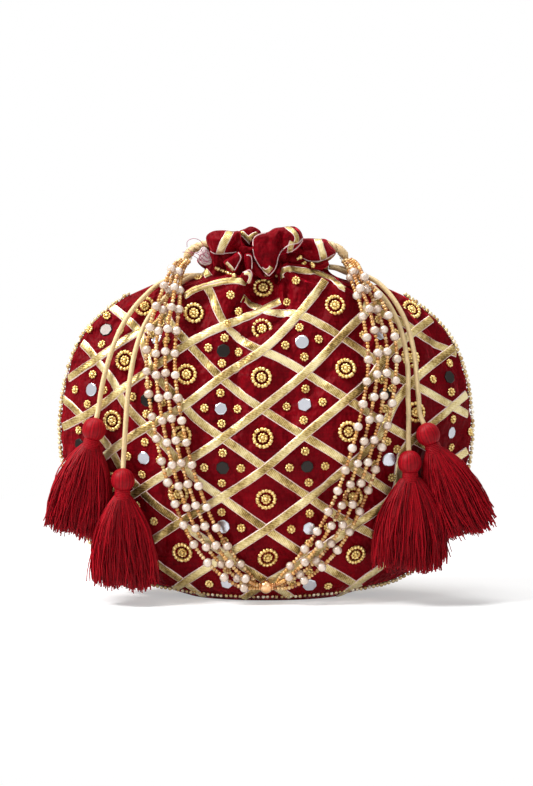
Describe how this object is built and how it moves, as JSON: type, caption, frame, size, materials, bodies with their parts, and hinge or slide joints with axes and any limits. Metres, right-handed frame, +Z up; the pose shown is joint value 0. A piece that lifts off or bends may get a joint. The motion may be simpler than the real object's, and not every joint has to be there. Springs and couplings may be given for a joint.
{
  "type": "potli bag",
  "caption": "Soft drawstring evening pouch, drawn shut with a gathered ruffle, with tasselled cord ends and a beaded string handle hanging down the front.",
  "frame": {"origin": "middle of the flat underside that the bag stands on", "axes": "+X across the bag to the right seen from the front, +Y from front to back, +Z up"},
  "size_m": [0.2612, 0.1003, 0.221],
  "materials": {
    "silk": "satin",
    "lining_cloth": "satin",
    "gold_beads": "gold metallic coating",
    "satin_cord": "satin",
    "pearls": "pearl lustre",
    "tassel_thread": "satin thread"
  },
  "bodies": {
    "bag": {"front_panel": "silk", "back_panel": "silk", "lining": "lining_cloth", "drawstring_left": "satin_cord", "drawstring_right": "satin_cord", "seam_beads": "gold_beads", "handle_loop_left": "satin_cord", "handle_loop_right": "satin_cord", "cord_left_outer": "satin_cord", "cord_left_inner": "satin_cord", "cord_right_outer": "satin_cord", "cord_right_inner": "satin_cord", "medallion_1": "gold_beads", "medallion_2": "gold_beads", "medallion_3": "gold_beads", "medallion_4": "gold_beads", "medallion_5": "gold_beads", "medallion_6": "gold_beads", "medallion_7": "gold_beads", "medallion_8": "gold_beads", "medallion_9": "gold_beads", "medallion_10": "gold_beads", "medallion_11": "gold_beads", "medallion_12": "gold_beads", "medallion_13": "gold_beads", "medallion_14": "gold_beads", "medallion_15": "gold_beads", "medallion_16": "gold_beads", "medallion_17": "gold_beads", "medallion_18": "gold_beads", "medallion_19": "gold_beads", "medallion_20": "gold_beads", "medallion_21": "gold_beads"},
    "handle": {"handle_wrap_left": "satin_cord", "handle_wrap_right": "satin_cord", "handle_ball": "gold_beads", "pearl_string_1": "pearls", "pearl_string_2": "pearls", "pearl_string_3": "pearls", "pearl_string_4": "pearls"},
    "tassel_left_outer": {"tassel_head_left_outer": "tassel_thread", "tassel_binding_left_outer": "tassel_thread", "tassel_skirt_left_outer": "tassel_thread"},
    "tassel_left_inner": {"tassel_head_left_inner": "tassel_thread", "tassel_binding_left_inner": "tassel_thread", "tassel_skirt_left_inner": "tassel_thread"},
    "tassel_right_outer": {"tassel_head_right_outer": "tassel_thread", "tassel_binding_right_outer": "tassel_thread", "tassel_skirt_right_outer": "tassel_thread"},
    "tassel_right_inner": {"tassel_head_right_inner": "tassel_thread", "tassel_binding_right_inner": "tassel_thread", "tassel_skirt_right_inner": "tassel_thread"}
  },
  "joints": [
    {"name": "handle_swing", "type": "hinge", "parent": "bag", "child": "handle", "pos_m": [0, 0, 0.206], "axis": [-1, 0, 0], "range_deg": [0, 255]},
    {"name": "tassel_swing_left_outer", "type": "hinge", "parent": "bag", "child": "tassel_left_outer", "pos_m": [-0.1014, -0.0313, 0.1028], "axis": [-1, 0, 0], "range_deg": [0, 60]},
    {"name": "tassel_swing_left_inner", "type": "hinge", "parent": "bag", "child": "tassel_left_inner", "pos_m": [-0.0841, -0.0389, 0.0737], "axis": [-1, 0, 0], "range_deg": [0, 60]},
    {"name": "tassel_swing_right_outer", "type": "hinge", "parent": "bag", "child": "tassel_right_outer", "pos_m": [0.0953, -0.0349, 0.1002], "axis": [-1, 0, 0], "range_deg": [0, 60]},
    {"name": "tassel_swing_right_inner", "type": "hinge", "parent": "bag", "child": "tassel_right_inner", "pos_m": [0.0842, -0.0398, 0.0843], "axis": [-1, 0, 0], "range_deg": [0, 60]}
  ]
}
